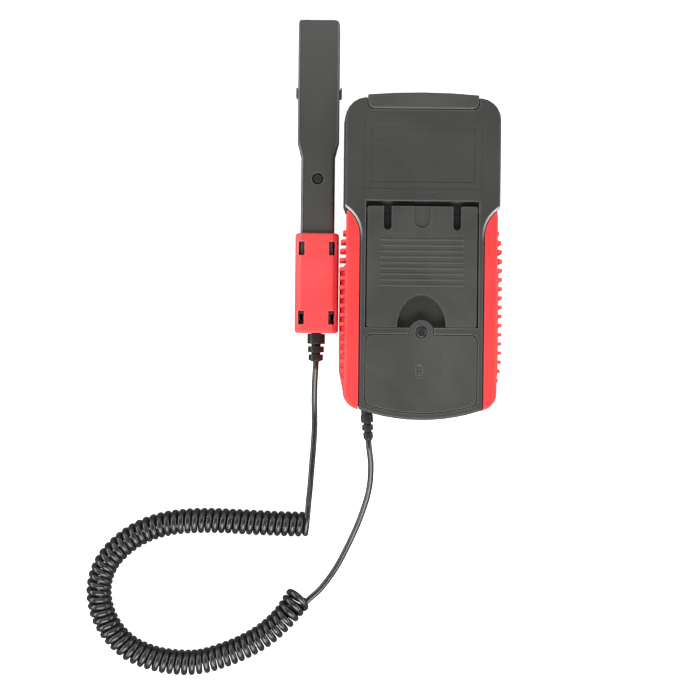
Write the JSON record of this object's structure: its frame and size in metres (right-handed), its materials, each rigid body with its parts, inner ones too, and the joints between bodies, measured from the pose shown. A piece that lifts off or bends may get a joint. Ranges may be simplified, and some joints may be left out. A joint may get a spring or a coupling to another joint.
{
  "type": "handheld meter with wired probe",
  "caption": "Handheld electronics workbench meter lying face down, with tilt stand, battery door, red side grips and a wand probe on a curly cord.",
  "frame": {"origin": "middle of the meter's footprint, on the flat front face that it rests on", "axes": "+Y towards the meter's top end, +Z out of its back face, +X to the right seen from the back"},
  "size_m": [0.2083, 0.3322, 0.0366],
  "materials": {
    "case_plastic": "fine moulded texture",
    "stand_plastic": "fine moulded texture",
    "door_plastic": "fine moulded texture",
    "probe_plastic": "fine moulded texture",
    "red_rubber": "soft touch",
    "red_plastic": "semi gloss",
    "key_rubber": "satin",
    "lens_clear": "polished",
    "lcd": "satin",
    "board_green": "solder mask",
    "black_plastic": "satin",
    "cord_black": "glossy jacket",
    "dark_steel": "black oxide",
    "battery_metal": "printed can",
    "sensor_metal": "brushed",
    "socket_plastic": "natural nylon"
  },
  "bodies": {
    "housing": {"rear_case": "case_plastic", "front_case": "case_plastic", "top_end_cap": "case_plastic", "grip_left": "red_rubber", "grip_right": "red_rubber", "case_screw_1": "dark_steel", "case_screw_2": "dark_steel", "case_screw_3": "dark_steel", "case_screw_4": "dark_steel", "display_lens": "lens_clear", "display_module": "lcd", "circuit_board": "board_green", "main_chip": "black_plastic", "buzzer": "black_plastic", "probe_socket": "socket_plastic", "battery": "battery_metal", "battery_snap": "black_plastic", "meter_strain_relief": "cord_black", "probe_rear_shell": "probe_plastic", "probe_front_shell": "probe_plastic", "probe_screw": "dark_steel", "sensor_board": "board_green", "sensor": "sensor_metal", "probe_collar": "red_plastic", "probe_strain_relief": "cord_black", "cord_meter_lead": "cord_black", "cord_curl": "cord_black", "cord_probe_lead": "cord_black"},
    "stand": {"tilt_stand": "stand_plastic"},
    "door": {"battery_door": "door_plastic", "door_screw": "dark_steel"},
    "slider": {"sensor_slider": "case_plastic"},
    "power_button_body": {"power_button": "red_rubber"},
    "button_2_body": {"button_2": "key_rubber"},
    "button_3_body": {"button_3": "key_rubber"},
    "button_4_body": {"button_4": "key_rubber"},
    "button_5_body": {"button_5": "key_rubber"},
    "button_6_body": {"button_6": "key_rubber"}
  },
  "joints": [
    {"name": "stand_hinge", "type": "hinge", "parent": "housing", "child": "stand", "pos_m": [0, 0.0228, 0.0334], "axis": [-1, 0, 0], "range_deg": [0, 65]},
    {"name": "door_hinge", "type": "hinge", "parent": "housing", "child": "door", "pos_m": [0, -0.073, 0.036], "axis": [1, 0, 0], "range_deg": [0, 50]},
    {"name": "slider_slide", "type": "slide", "parent": "housing", "child": "slider", "axis": [0, -1, 0], "range_m": [0, 0.01]},
    {"name": "power_button_press", "type": "slide", "parent": "housing", "child": "power_button_body", "axis": [0, 0, 1], "range_m": [0, 0.0008], "stiffness_N_per_m": 400, "springref_m": -0.0008},
    {"name": "button_2_press", "type": "slide", "parent": "housing", "child": "button_2_body", "axis": [0, 0, 1], "range_m": [0, 0.0008], "stiffness_N_per_m": 400, "springref_m": -0.0008},
    {"name": "button_3_press", "type": "slide", "parent": "housing", "child": "button_3_body", "axis": [0, 0, 1], "range_m": [0, 0.0008], "stiffness_N_per_m": 400, "springref_m": -0.0008},
    {"name": "button_4_press", "type": "slide", "parent": "housing", "child": "button_4_body", "axis": [0, 0, 1], "range_m": [0, 0.0008], "stiffness_N_per_m": 400, "springref_m": -0.0008},
    {"name": "button_5_press", "type": "slide", "parent": "housing", "child": "button_5_body", "axis": [0, 0, 1], "range_m": [0, 0.0008], "stiffness_N_per_m": 400, "springref_m": -0.0008},
    {"name": "button_6_press", "type": "slide", "parent": "housing", "child": "button_6_body", "axis": [0, 0, 1], "range_m": [0, 0.0008], "stiffness_N_per_m": 400, "springref_m": -0.0008}
  ]
}
